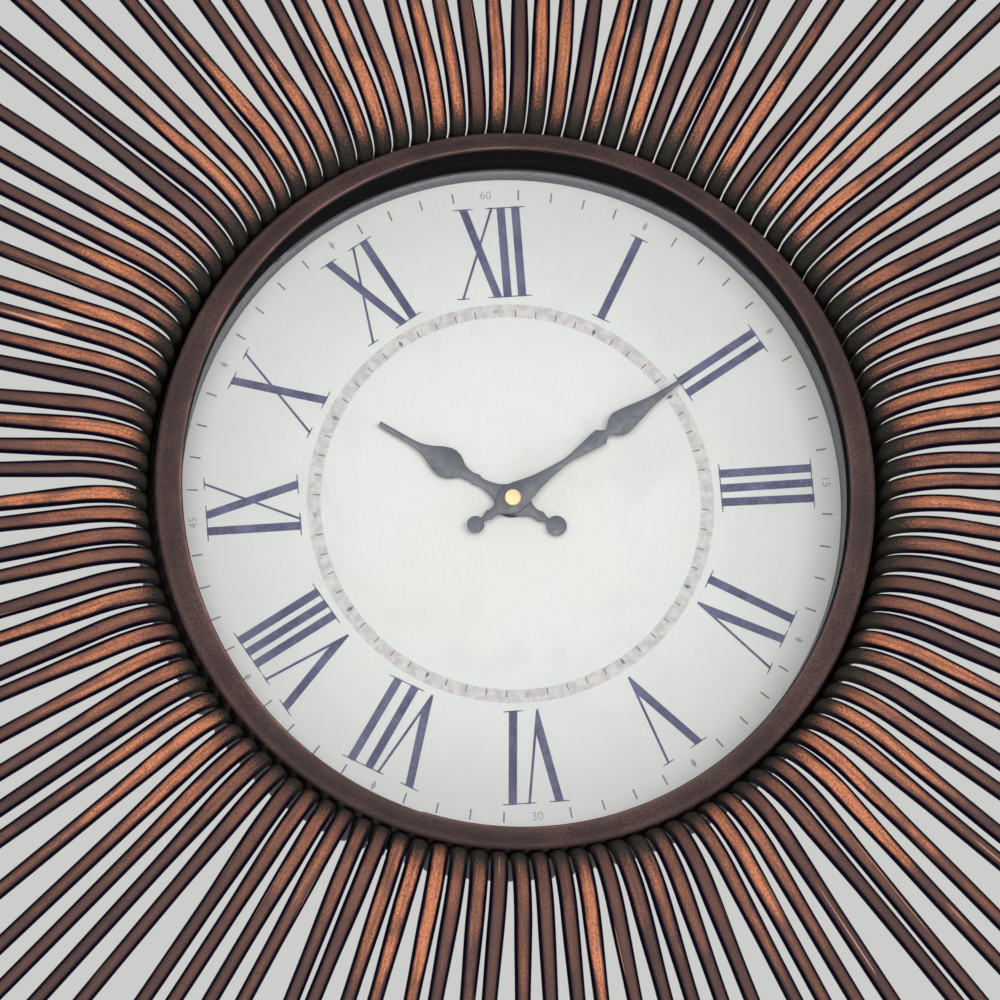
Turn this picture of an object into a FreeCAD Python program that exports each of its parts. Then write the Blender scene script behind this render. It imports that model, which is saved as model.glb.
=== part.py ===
import FreeCAD, Part
import math
import os
import re

import Sketcher
from FreeCAD import Placement, Rotation, Vector

# A sunburst wall clock: a framed dial in a steel drum, with bent metal rays all round it.
# It is drawn lying on its back: X to the right, Y up the dial, Z away from the wall.
# Every sub-part is then stood up, so that the dial faces -Y, Z is up and the wall is at Y = 0.
SIZES = {
    # Rays: bent tubes whose legs run along the drum
    "overall_radius": 381,
    "ray_count": 120,
    "rays_in_group": 6,
    "leg_radius": 171.5,
    "leg_low": 5,
    "bend_radius": 26.5,
    "crest_depth": 87.5,
    "run_slope": 11.3,
    "tube_radius": 3.175,
    "bend_half_width": 4.15,
    "bend_half_depth": 2.6,
    "flat_length": 42,
    "tip_fillet": 0.8,
    # Drum, bezel and what they hold
    "drum_radius": 165.4,
    "drum_wall": 1.1,
    "drum_high": 46,
    "bezel_radius": 166.8,
    "bezel_lip": 157.1,
    "bezel_sheet": 1.2,
    "bezel_front": 72,
    "bezel_shoulder": 67.3,
    "bezel_low": 30,
    "bezel_inner_low": 47.5,
    "glass_radius": 163.6,
    "glass_low": 43.5,
    "glass_high": 46,
    "dial_face": 31,
    "paper_thick": 0.2,
    "backing_thick": 3,
    "dial_radius": 163.4,
    "opening_radius": 154.6,
    "opening_flare": 0.9,
    "spacer_radius": 158.6,
    "hoop_radius": 168.3,
    "hoop_height": 8,
    # Rear panel and hanging
    "panel_radius": 163.8,
    "panel_low": 6,
    "panel_high": 9,
    "bay_half": 33,
    "recess_half": 14,
    "hanger_up": 118,
    "rivet_side": 22,
    "rivet_radius": 1.6,
    "keyhole_radius": 4.75,
    "keyhole_slot": 2.3,
    "keyhole_rise": 9,
    "bumper_radius": 6,
    # Movement
    "box_half": 28,
    "box_floor": -31,
    "box_ceiling": 25,
    "box_low": 10.5,
    "box_split": 25,
    "box_high": 27.6,
    "box_wall": 1.5,
    "battery_up": -22,
    "battery_depth": 18.05,
    "battery_radius": 7.15,
    "battery_half": 24.3,
    "bay_top": -14.2,
    "bay_lid": 25.6,
    "knob_low": 6.4,
    "knob_high": 10,
    # Centre stack
    "bushing_radius": 4,
    "bushing_high": 35,
    "tube_outer": 2.55,
    "shaft_radius": 1.45,
    "running_gap": 0.05,
    "hour_low": 35.6,
    "minute_low": 38.2,
    "hand_thick": 0.6,
    "cap_high": 42.3,
    "cap_radius": 3.8,
    # Gears
    "train_module": 0.4,
    "motion_module": 0.32,
    "motion_angle": 160,
    "knob_angle": 120,
    "third_angle": 50,
    "pivot_radius": 0.6,
    "pivot_low": 11.8,
    "hub_low": 13.3,
    "hub_high": 22.8,
    "hub_radius": 1.2,
    "wheel_thick": 1,
    "hour_wheel_low": 23.2,
    "centre_wheel_low": 18.6,
    "centre_pinion_high": 22.6,
    "motion_wheel_low": 21,
    "motion_pinion_high": 24.6,
    "third_wheel_low": 16,
    "third_pinion_high": 20.4,
    "rotor_pinion_low": 15.4,
    "magnet_low": 17.6,
    "magnet_high": 20,
    "blade_low": 18.2,
    "blade_high": 19.4,
    "pivot_high": 25.5,
}

os.makedirs("parts", exist_ok=True)
doc = FreeCAD.newDocument("sunburst_clock")
sheet = doc.addObject("Spreadsheet::Sheet", "dims")
for row, (alias, size) in enumerate(SIZES.items(), 1):
    sheet.set(f"A{row}", alias)
    sheet.set(f"B{row}", str(size))
    sheet.setAlias(f"B{row}", alias)
doc.recompute()

STAND_UP = Placement(Vector(0, 0, 0), Rotation(Vector(1, 0, 0), 90))
subparts = []


def bound(text):
    """The expression with the sheet's name before each of its cells."""
    return re.sub(r"[a-z_]+", lambda m: "dims." + m[0] if m[0] in SIZES else m[0], str(text))


def number(text):
    return float(sheet.evalExpression(bound(text)))


# ---- Sketches -------------------------------------------------------------------------------


def new_body(label, at=("0", "0")):
    body = doc.addObject("PartDesign::Body", label)
    body.Label = label
    body.AllowCompound = True
    body.Placement = STAND_UP * Placement(Vector(number(at[0]), number(at[1]), 0), Rotation())
    subparts.append(body)
    return body


def new_sketch(body, name, plane="XY_Plane", low="0", turn=0.0):
    """A sketch on one of the body's own planes, raised to low and turned about its normal."""
    sketch = body.newObject("Sketcher::SketchObject", f"{body.Name}_{name}")
    base = next(f for f in body.Origin.OriginFeatures if f.Role == plane)
    sketch.AttachmentSupport = (base, [""])
    sketch.MapMode = "FlatFace"
    sketch.AttachmentOffset = Placement(Vector(0, 0, number(low)), Rotation(Vector(0, 0, 1), turn))
    if low != "0":
        sketch.setExpression("AttachmentOffset.Base.z", bound(low))
    return sketch


def hold(sketch, kind, item, end, text):
    """A distance from the sketch's origin to a point, given by an expression."""
    index = sketch.addConstraint(Sketcher.Constraint(kind, item, end, number(text)))
    sketch.setExpression(f"Constraints[{index}]", bound(text))


def pin_down(sketch, item, end, x, y):
    hold(sketch, "DistanceX", item, end, x)
    hold(sketch, "DistanceY", item, end, y)


def draw_outline(sketch, corners):
    """A closed outline of straight sides through corners, each held by its own expressions."""
    points = [Vector(number(x), number(y), 0) for x, y in corners]
    first = sketch.GeometryCount
    for start, end in zip(points, points[1:] + points[:1]):
        sketch.addGeometry(Part.LineSegment(start, end), False)
    count = len(points)
    for i, (x, y) in enumerate(corners):
        sketch.addConstraint(Sketcher.Constraint("Coincident", first + i, 2, first + (i + 1) % count, 1))
        pin_down(sketch, first + i, 1, x, y)


def draw_circle(sketch, radius, x="0", y="0"):
    centre = Vector(number(x), number(y), 0)
    item = sketch.addGeometry(Part.Circle(centre, Vector(0, 0, 1), number(radius)), False)
    pin_down(sketch, item, 3, x, y)
    index = sketch.addConstraint(Sketcher.Constraint("Radius", item, number(radius)))
    sketch.setExpression(f"Constraints[{index}]", bound(radius))


def box_corners(left, right, low, high):
    return [(left, low), (right, low), (right, high), (left, high)]


# ---- Features -------------------------------------------------------------------------------


def pad(body, name, low, high, draw, turn=0.0):
    """Adds material from low to high, over the outline that draw(sketch) makes."""
    sketch = new_sketch(body, name + "_sketch", low=low, turn=turn)
    draw(sketch)
    feature = body.newObject("PartDesign::Pad", f"{body.Name}_{name}")
    feature.Profile = sketch
    feature.setExpression("Length", bound(f"({high}) - ({low})"))
    body.Tip = feature
    return feature


def pocket(body, name, low, high, draw, turn=0.0):
    """Cuts material from low to high; the cut runs up from its sketch."""
    sketch = new_sketch(body, name + "_sketch", low=low, turn=turn)
    draw(sketch)
    feature = body.newObject("PartDesign::Pocket", f"{body.Name}_{name}")
    feature.Profile = sketch
    feature.Reversed = True
    feature.setExpression("Length", bound(f"({high}) - ({low})"))
    body.Tip = feature
    return feature


def revolve(body, name, corners):
    """Turns an outline of (radius, depth) corners about the body's Z axis."""
    sketch = new_sketch(body, name + "_sketch", plane="XZ_Plane")
    draw_outline(sketch, corners)
    feature = body.newObject("PartDesign::Revolution", f"{body.Name}_{name}")
    feature.Profile = sketch
    feature.ReferenceAxis = (sketch, ["V_Axis"])
    feature.Angle = 360
    body.Tip = feature
    return feature


def polar(body, name, feature, count):
    pattern = body.newObject("PartDesign::PolarPattern", f"{body.Name}_{name}")
    pattern.Originals = [feature]
    axis = next(f for f in body.Origin.OriginFeatures if f.Role == "Z_Axis")
    pattern.Axis = (axis, [""])
    pattern.Angle = 360
    pattern.setExpression("Occurrences", bound(count))
    body.Tip = pattern
    return pattern


def ring(label, inner, outer, low, high):
    body = new_body(label)
    revolve(body, "section", box_corners(inner, outer, low, high))
    return body


def outline(corners):
    return lambda sketch: draw_outline(sketch, corners)


def circles(*rounds):
    """Circles given as (radius, x, y), for one sketch."""

    def draw(sketch):
        for radius, x, y in rounds:
            draw_circle(sketch, radius, x, y)

    return draw


# ---- Rays -----------------------------------------------------------------------------------

ALMOST_ROUND = 0.01  # keeps an oval's long axis across the ray, so that the loft doesn't twist


def make_ray():
    """One bent tube: a leg away from the wall, a flattened bend, and a long straight run outwards.

    The leg and bend have an oval section, which turns round along the first stretch of the run.
    """
    body = doc.addObject("PartDesign::Body", "one_ray")
    body.Label = "one_ray"
    centre_depth = "crest_depth - bend_radius"
    path = new_sketch(body, "path", plane="XZ_Plane")
    leg = number("leg_radius")
    bend = number("bend_radius")
    middle = Vector(leg + bend, number(centre_depth), 0)
    slope = math.radians(number("run_slope"))
    path.addGeometry(Part.LineSegment(Vector(leg, number("leg_low"), 0), Vector(leg, middle.y, 0)), False)
    arc = Part.ArcOfCircle(Part.Circle(middle, Vector(0, 0, 1), bend), math.pi / 2 - slope, math.pi)
    path.addGeometry(arc, False)
    path.addConstraint(Sketcher.Constraint("Coincident", 0, 2, 1, 2))
    pin_down(path, 0, 1, "leg_radius", "leg_low")
    pin_down(path, 0, 2, "leg_radius", centre_depth)
    pin_down(path, 1, 3, "leg_radius + bend_radius", centre_depth)
    bend_end = "leg_radius + bend_radius * (1 + sin(run_slope))"
    hold(path, "DistanceX", 1, 1, bend_end)

    oval = new_sketch(body, "oval", low="leg_low")
    draw_oval(oval, leg, number("bend_half_width"), number("bend_half_depth"))
    leg_and_bend = body.newObject("PartDesign::AdditivePipe", "one_ray_leg_and_bend")
    leg_and_bend.Profile = oval
    leg_and_bend.Spine = (path, ["Edge1", "Edge2"])
    body.Tip = leg_and_bend

    along = Vector(math.cos(slope), 0, -math.sin(slope))
    start = Vector(middle.x + bend * math.sin(slope), 0, middle.y + bend * math.cos(slope))
    tip_along = (number("overall_radius") - number("tube_radius") * math.sin(slope) - start.x) / along.x
    facing = Rotation(Vector(0, 1, 0), 90 + number("run_slope"))
    tube = number("tube_radius")
    near = run_sketch(body, "run_near", start, facing)
    draw_oval(near, 0, number("bend_half_width"), number("bend_half_depth"))
    far = run_sketch(body, "run_far", start + along * number("flat_length"), facing)
    draw_oval(far, 0, tube + ALMOST_ROUND, tube)
    loft = body.newObject("PartDesign::AdditiveLoft", "one_ray_round_off")
    loft.Profile = near
    loft.Sections = [far]
    loft.Ruled = True
    body.Tip = loft
    last = run_sketch(body, "run_last", start + along * number("flat_length"), facing)
    draw_oval(last, 0, tube + ALMOST_ROUND, tube)
    run = body.newObject("PartDesign::Pad", "one_ray_run")
    run.Profile = last
    run.Length = tip_along - number("flat_length")
    body.Tip = run
    doc.recompute()
    edge = max(range(len(run.Shape.Edges)), key=lambda i: run.Shape.Edges[i].CenterOfMass.x)
    rounded = body.newObject("PartDesign::Fillet", "one_ray_tip")
    rounded.Base = (run, [f"Edge{edge + 1}"])
    rounded.setExpression("Radius", bound("tip_fillet"))
    body.Tip = rounded
    doc.recompute()
    return body


def run_sketch(body, name, place, facing):
    sketch = new_sketch(body, name)
    sketch.AttachmentOffset = Placement(place, facing)
    return sketch


def draw_oval(sketch, x, wide, thin):
    """An oval centred at x, wide across the ray and thin along the sketch's X."""
    centre = Vector(x, 0, 0)
    ellipse = Part.Ellipse(centre + Vector(0, wide, 0), centre + Vector(thin, 0, 0), centre)
    item = sketch.addGeometry(ellipse, False)
    sketch.addConstraint(Sketcher.Constraint("Block", item))


def uneven(index, rate, offset):
    """A steady but uneven value from -1 to 1 for each ray, as hand-set pieces have."""
    return math.sin(index * rate + offset) * math.cos(index * rate * 0.37 + 2 * offset)


def ray_placement(index):
    """Each ray is turned a little about its own leg, and stands a little high or low."""
    azimuth = 360 / number("ray_count") * (index + 0.5)
    lean = 1.9 * uneven(index, 2.4, 0.7)
    lift = 1.1 * uneven(index, 1.7, 2.1)
    leg = Vector(number("leg_radius"), 0, 0)
    about_leg = Placement(leg, Rotation(Vector(0, 0, 1), lean)) * Placement(-leg, Rotation())
    return Placement(Vector(0, 0, lift), Rotation(Vector(0, 0, 1), azimuth)) * about_leg


def make_rays():
    """The rays, joined in fans of neighbours. Each fan is a group of separate solids."""
    one = make_ray().Shape
    in_group = int(number("rays_in_group"))
    for group in range(int(number("ray_count")) // in_group):
        solids = []
        for index in range(group * in_group, (group + 1) * in_group):
            ray = one.copy()
            ray.Placement = ray_placement(index)
            solids.append(ray)
        fan = doc.addObject("Part::Feature", f"ray_fan_{group + 1:02d}")
        fan.Label = fan.Name
        fan.Shape = Part.makeCompound(solids)
        fan.Placement = STAND_UP
        subparts.append(fan)


# ---- Drum, bezel, dial and glass --------------------------------------------------------------


def make_drum():
    """A rolled band, open at both ends; its rear rim rests on the wall."""
    ring("drum", "drum_radius - drum_wall", "drum_radius", "0", "drum_high")


def make_bezel():
    """A folded channel, open to the rear: inner wall, sloping front face and outer skirt."""
    body = new_body("bezel")
    inner = "bezel_lip"
    corners = [
        (inner, "bezel_inner_low"),
        (inner, "bezel_front - 0.8"),
        (f"{inner} + 0.9", "bezel_front"),
        ("bezel_radius - 1.2", "bezel_shoulder + 0.4"),
        ("bezel_radius", "bezel_shoulder - 0.9"),
        ("bezel_radius", "bezel_low"),
        ("bezel_radius - bezel_sheet", "bezel_low"),
        ("bezel_radius - bezel_sheet", "bezel_shoulder - 1.4"),
        (f"{inner} + bezel_sheet + 0.4", "bezel_front - 1.9"),
        (f"{inner} + bezel_sheet", "bezel_inner_low"),
    ]
    revolve(body, "channel", corners)


def make_hoops():
    """Two flat hoops round the drum, to which the ray legs are welded."""
    for label, low, inside in (
        ("rear_hoop", "leg_low + 1", "drum_radius"),
        ("front_hoop", "bezel_low + 4", "bezel_radius"),
    ):
        ring(label, inside, "hoop_radius", low, f"{low} + hoop_height")


def make_dial():
    ring("glass_gasket", "bezel_lip + 0.3", "glass_radius", "glass_high", "bezel_inner_low")
    spacer = new_body("dial_spacer")
    corners = [
        ("opening_radius", "dial_face"),
        ("spacer_radius", "dial_face"),
        ("spacer_radius", "glass_low"),
        ("opening_radius + opening_flare", "glass_low"),
    ]
    revolve(spacer, "flared_ring", corners)
    body = new_body("glass")
    pad(body, "disc", "glass_low", "glass_high", circles(("glass_radius", "0", "0")))
    backing_high = "dial_face - paper_thick"
    hole = ("bushing_radius + 0.15", "0", "0")
    body = new_body("dial_paper")
    pad(body, "sheet", backing_high, "dial_face", circles(("dial_radius", "0", "0"), hole))
    body = new_body("dial_backing")
    low = f"{backing_high} - backing_thick"
    pad(body, "board", low, backing_high, circles(("dial_radius", "0", "0"), hole))


def make_clips():
    """Spring clips riveted inside the drum, which press the dial and glass forwards."""
    body = new_body("dial_clips")
    wall = "drum_radius - drum_wall"
    low = "dial_face - paper_thick - backing_thick - 1"
    foot = pad(body, "foot", low, f"{low} + 1", outline(box_corners(f"{wall} - 9", f"{wall} - 0.9", "-6", "6")))
    back = outline(box_corners(f"{wall} - 1.9", f"{wall} - 0.9", "-6", "6"))
    upright = pad(body, "upright", f"{low} - 11", f"{low} + 1", back)
    pattern = body.newObject("PartDesign::PolarPattern", "dial_clips_pattern")
    pattern.Originals = [foot, upright]
    pattern.Axis = (next(f for f in body.Origin.OriginFeatures if f.Role == "Z_Axis"), [""])
    pattern.Angle = 360
    pattern.Occurrences = 6
    body.Tip = pattern


def make_rear_panel():
    """A hardboard disc with a square opening at the movement and one behind the keyhole."""
    body = new_body("rear_panel")
    pad(body, "disc", "panel_low", "panel_high", circles(("panel_radius", "0", "0")))
    square = box_corners("-bay_half", "bay_half", "-bay_half", "bay_half")
    pocket(body, "bay", "panel_low", "panel_high", outline(square))
    recess = box_corners("-recess_half", "recess_half", "hanger_up - 12", "hanger_up + 18")
    pocket(body, "recess", "panel_low", "panel_high", outline(recess))
    for side in (-1, 1):
        hole = circles(("rivet_radius", f"{side} * rivet_side", "hanger_up + 4"))
        pocket(body, f"rivet_hole_{side + 1}", "panel_low", "panel_high", hole)
    screw_holes = circles(("1.7", "panel_radius - 9", "0"))
    holes = pocket(body, "screw_hole", "panel_low", "panel_high", screw_holes, turn=30)
    polar(body, "screw_holes", holes, "6")


def make_panel_brackets():
    """Small angle brackets inside the drum; the rear panel's screws go into their feet."""
    body = new_body("panel_brackets")
    wall = "drum_radius - drum_wall"
    foot_shape = outline(box_corners(f"{wall} - 15", f"{wall} - 0.3", "-7", "7"))
    foot = pad(body, "foot", "panel_high", "panel_high + 1.2", foot_shape, turn=30)
    back = outline(box_corners(f"{wall} - 1.5", f"{wall} - 0.3", "-7", "7"))
    upright = pad(body, "upright", "panel_high", "panel_high + 6.5", back, turn=30)
    hole = pocket(
        body, "hole", "panel_high", "panel_high + 1.2", circles(("1.3", "panel_radius - 9", "0")), turn=30
    )
    pattern = body.newObject("PartDesign::PolarPattern", "panel_brackets_pattern")
    pattern.Originals = [foot, upright, hole]
    pattern.Axis = (next(f for f in body.Origin.OriginFeatures if f.Role == "Z_Axis"), [""])
    pattern.Angle = 360
    pattern.Occurrences = 6
    body.Tip = pattern


def make_panel_screws():
    """Pan-head screws through the rear panel, spaced like its brackets."""
    body = new_body("panel_screws")
    at = ("panel_radius - 9", "0")
    head = pad(body, "head", "panel_low - 1.8", "panel_low", circles(("3", *at)), turn=30)
    shank = pad(body, "shank", "panel_low", "panel_high + 4", circles(("1.3", *at)), turn=30)
    pattern = body.newObject("PartDesign::PolarPattern", "panel_screws_pattern")
    pattern.Originals = [head, shank]
    pattern.Axis = (next(f for f in body.Origin.OriginFeatures if f.Role == "Z_Axis"), [""])
    pattern.Angle = 360
    pattern.Occurrences = 6
    body.Tip = pattern


def make_hanger():
    """A steel keyhole plate riveted to the rear panel, above the middle."""
    plate_low = "panel_low - 1.5"
    body = new_body("hanger_plate")
    plate = box_corners("-32", "32", "hanger_up - 12", "hanger_up + 20")
    pad(body, "plate", plate_low, "panel_low", outline(plate))
    entry = circles(("keyhole_radius", "0", "hanger_up"))
    pocket(body, "keyhole", plate_low, "panel_low", entry)
    slot = box_corners("-keyhole_slot", "keyhole_slot", "hanger_up", "hanger_up + keyhole_rise")
    pocket(body, "slot", plate_low, "panel_low", outline(slot))
    slot_end = circles(("keyhole_slot", "0", "hanger_up + keyhole_rise"))
    pocket(body, "slot_end", plate_low, "panel_low", slot_end)
    for side in (-1, 1):
        hole = circles(("rivet_radius", f"{side} * rivet_side", "hanger_up + 4"))
        pocket(body, f"rivet_hole_{side + 1}", plate_low, "panel_low", hole)
    rivets = new_body("hanger_rivets")
    for side in (-1, 1):
        place = (str(22 * side), "hanger_up + 4")
        pad(rivets, f"shank_{side + 1}", plate_low, "panel_high", circles(("1.6", *place)))
        pad(rivets, f"head_{side + 1}", "panel_low - 2.7", plate_low, circles(("3.2", *place)))
        pad(rivets, f"tail_{side + 1}", "panel_high", "panel_high + 1", circles(("2.8", *place)))


def make_bumpers():
    """Rubber pads on the rear panel that keep its lower half off the wall."""
    body = new_body("wall_bumpers")
    for name, x in (("left", "-95"), ("right", "95")):
        pad(body, name, "0", "panel_low", circles(("bumper_radius", x, "-95")))


# ---- Movement ---------------------------------------------------------------------------------


def tooth_gap(teeth, module, addendum, phase):
    """The gap between two teeth: an involute's width at three radii, with straight flanks between."""
    pitch = number(module) * teeth / 2
    tip = pitch + addendum * number(module)
    root = pitch - 1.2 * number(module)
    pressure = math.radians(20)
    base = pitch * math.cos(pressure)
    tooth_share = 0.8

    def gap_half_angle(radius):
        here = math.acos(min(1.0, base / radius))
        narrowing = math.tan(here) - here - math.tan(pressure) + pressure
        return math.pi / teeth - (math.pi / 2 / teeth * tooth_share - narrowing)

    def draw(sketch):
        radii = [root, max(base, root + 0.02), pitch, tip * 1.05]
        side = [(radius, gap_half_angle(min(radius, tip))) for radius in radii]
        upper = [Vector(r * math.cos(a), r * math.sin(a), 0) for r, a in side]
        lower = [Vector(p.x, -p.y, 0) for p in reversed(upper)]
        points = upper + lower
        for start, end in zip(points, points[1:] + points[:1]):
            item = sketch.addGeometry(Part.LineSegment(start, end), False)
            sketch.addConstraint(Sketcher.Constraint("Block", item))

    return draw, f"{module} * ({teeth / 2} + {addendum})", phase


def gear(body, name, teeth, module, low, high, phase, addendum=0.85):
    """A spur gear on the body's axis. A gap between teeth faces the direction phase."""
    gap, tip_radius, turn = tooth_gap(teeth, module, addendum, phase)
    pad(body, name, low, high, circles((tip_radius, "0", "0")))
    cut = pocket(body, name + "_gap", low, high, gap, turn=turn)
    polar(body, name + "_teeth", cut, str(teeth))


def bore(body, name, radius, low, high):
    pocket(body, name, low, high, circles((radius, "0", "0")))


def polar_place(distance, angle, start=("0", "0")):
    """The expressions of a point at a distance and angle from another one."""
    x = f"{start[0]} + {distance} * cos({angle})"
    y = f"{start[1]} + {distance} * sin({angle})"
    return x, y


MOTION_AT = polar_place("motion_module * 30", "motion_angle")
KNOB_AT = polar_place("motion_module * 30", "knob_angle", MOTION_AT)
THIRD_AT = polar_place("train_module * 35", "third_angle")
ROTOR_AT = polar_place("train_module * 30", "0", THIRD_AT)


def make_movement_box():
    """The movement's two moulded halves; the rear one has an open bay for the battery."""
    rear = new_body("movement_rear_case")
    plate = box_corners("-box_half", "box_half", "box_floor", "box_ceiling")
    pad(rear, "block", "box_low", "box_split", outline(plate))
    inner = "(box_half - box_wall)"
    room = box_corners(f"-{inner}", inner, "bay_top + box_wall", "box_ceiling - box_wall")
    pocket(rear, "gear_room", "box_low + box_wall", "box_split", outline(room))
    bay = outline(box_corners(f"-{inner}", inner, "box_floor + box_wall", "bay_top"))
    pocket(rear, "battery_bay", "box_low", "box_split", bay)
    knob_hole = circles(("1.6", *KNOB_AT))
    pocket(rear, "knob_hole", "box_low", "box_low + box_wall", knob_hole)
    for name, place in (("third", THIRD_AT), ("rotor", ROTOR_AT), ("centre", ("0", "0"))):
        boss = circles(("1.6", *place))
        pad(rear, name + "_boss", "box_low + box_wall", "box_low + box_wall + 1", boss)
        hole = circles(("pivot_radius + running_gap", *place))
        pocket(rear, name + "_pivot", "box_low + 1", "box_low + box_wall + 1", hole)

    front = new_body("movement_front_cover")
    pad(front, "plate", "box_split", "box_high", outline(plate))
    pocket(front, "battery_room", "box_split", "bay_lid", bay)
    pocket(front, "bushing_hole", "box_split", "box_high", circles(("bushing_radius", "0", "0")))
    for name, place in (("third", THIRD_AT), ("rotor", ROTOR_AT)):
        boss = circles(("1.6", *place))
        pad(front, name + "_boss", "box_split - 1.8", "box_split", boss)
        hole = circles(("pivot_radius + running_gap", *place))
        pocket(front, name + "_pivot", "box_split - 1.8", "box_split + 0.8", hole)
    pad(front, "motion_post", "20.6", "box_split", circles(("0.8", *MOTION_AT)))
    return rear, front


def make_centre_stack():
    """The threaded bushing with its nut and washers, which clamp the dial to the movement."""
    bushing = new_body("threaded_bushing")
    hole = ("tube_outer + running_gap", "0", "0")
    pad(bushing, "thread", "box_split", "bushing_high", circles(("bushing_radius", "0", "0"), hole))
    ring("rubber_washer", "bushing_radius", "9", "box_high", "dial_face - paper_thick - backing_thick")
    ring("brass_washer", "bushing_radius", "7.5", "dial_face", "dial_face + 0.5")
    nut = new_body("hex_nut")

    def hexagon(sketch):
        across = 5.6
        corners = [
            (str(across / math.cos(math.pi / 6) * math.cos(math.radians(60 * i))),
             str(across / math.cos(math.pi / 6) * math.sin(math.radians(60 * i))))
            for i in range(6)
        ]
        draw_outline(sketch, corners)
        draw_circle(sketch, "bushing_radius")

    pad(nut, "hexagon", "dial_face + 0.5", "dial_face + 2.6", hexagon)


def add_pivots(arbor):
    """Thin ends that turn in the case's two pivot holes."""
    pad(arbor, "rear_pivot", "pivot_low", "hub_low", circles(("pivot_radius", "0", "0")))
    pad(arbor, "front_pivot", "hub_high", "pivot_high", circles(("pivot_radius", "0", "0")))


def make_wheels():
    """The going train and the motion work. Every gear is in mesh at the rest position."""
    tube_high = "hour_low + hand_thick + 0.6"
    hour = new_body("hour_wheel")
    gear(hour, "wheel", 48, "motion_module", "hour_wheel_low", "hour_wheel_low + wheel_thick", phase=number("motion_angle"))
    pad(hour, "tube", "hour_wheel_low", tube_high, circles(("tube_outer", "0", "0")))
    bore(hour, "bore", "shaft_radius + running_gap", "hour_wheel_low", tube_high)

    centre = new_body("centre_wheel")
    gear(centre, "wheel", 60, "train_module", "centre_wheel_low", "centre_wheel_low + wheel_thick", phase=number("third_angle") + 3)
    gear(centre, "pinion", 15, "motion_module", "centre_wheel_low + wheel_thick", "centre_pinion_high", phase=number("motion_angle") + 12)
    shaft_high = "minute_low + hand_thick + 0.4"
    pad(centre, "shaft", "centre_pinion_high", shaft_high, circles(("shaft_radius", "0", "0")))
    pad(centre, "thread", shaft_high, "cap_high - 1", circles(("1.1", "0", "0")))
    pad(centre, "hub", "hub_low", "centre_wheel_low", circles(("1.4", "0", "0")))
    pad(centre, "pivot", "pivot_low", "hub_low", circles(("pivot_radius", "0", "0")))

    motion = new_body("motion_wheel", MOTION_AT)
    gear(motion, "wheel", 45, "motion_module", "motion_wheel_low", "motion_wheel_low + wheel_thick", phase=number("motion_angle") + 180)
    gear(motion, "pinion", 12, "motion_module", "motion_wheel_low + wheel_thick", "motion_pinion_high", phase=number("motion_angle") + 195)
    bore(motion, "bore", "0.8 + running_gap", "motion_wheel_low", "motion_pinion_high")

    third = new_body("third_wheel", THIRD_AT)
    gear(third, "wheel", 50, "train_module", "third_wheel_low", "third_wheel_low + wheel_thick", phase=3.6)
    gear(third, "pinion", 10, "train_module", "third_wheel_low + wheel_thick", "third_pinion_high", phase=number("third_angle") + 180)
    pad(third, "rear_hub", "hub_low", "third_wheel_low", circles(("hub_radius", "0", "0")))
    pad(third, "front_hub", "third_pinion_high", "hub_high", circles(("hub_radius", "0", "0")))
    add_pivots(third)

    rotor = new_body("rotor", ROTOR_AT)
    gear(rotor, "pinion", 10, "train_module", "rotor_pinion_low", "magnet_low", phase=180)
    pad(rotor, "magnet", "magnet_low", "magnet_high", circles(("2.6", "0", "0")))
    pad(rotor, "rear_hub", "hub_low", "rotor_pinion_low", circles(("hub_radius", "0", "0")))
    pad(rotor, "front_hub", "magnet_high", "hub_high", circles(("hub_radius", "0", "0")))
    add_pivots(rotor)

    arbor = new_body("setting_pinion", KNOB_AT)
    gear(arbor, "pinion", 15, "motion_module", "20.4", "22.6", phase=number("knob_angle") + 180)
    pad(arbor, "shaft", "knob_high", "20.4", circles(("1.5", "0", "0")))
    knob = new_body("setting_knob", KNOB_AT)
    pad(knob, "disc", "knob_low", "knob_high", circles(("5.5", "0", "0")))
    grip = pocket(knob, "grip", "knob_low", "knob_high - 1", circles(("0.7", "5.9", "0")))
    polar(knob, "grips", grip, "16")


def make_motor():
    """The stepping motor: a stator round the rotor, with a coil on its core, and the circuit."""
    x, y = ROTOR_AT
    stator = new_body("stator")
    blade = box_corners(f"{x} - 5", f"{x} + 5", f"{y} - 6", "22.3")
    pad(stator, "blade", "blade_low", "blade_high", outline(blade))
    arm = box_corners("-2", f"{x} - 5", "19.8", "22.3")
    pad(stator, "arm", "blade_low", "blade_high", outline(arm))
    pocket(stator, "rotor_hole", "blade_low", "blade_high", circles(("3", x, y)))
    coil = new_body("coil")
    winding = box_corners("0", "12", "18.4", "23.2")
    pad(coil, "winding", "19.6", "24.4", outline(winding))
    board = new_body("circuit_board")
    pad(board, "board", "23.6", "24.4", outline(box_corners("-26", "-14", "-7.5", "-1")))
    crystal = new_body("quartz_crystal")
    pad(crystal, "can", "21.6", "23.6", outline(box_corners("-25", "-18", "-5.6", "-3.4")))


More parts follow.
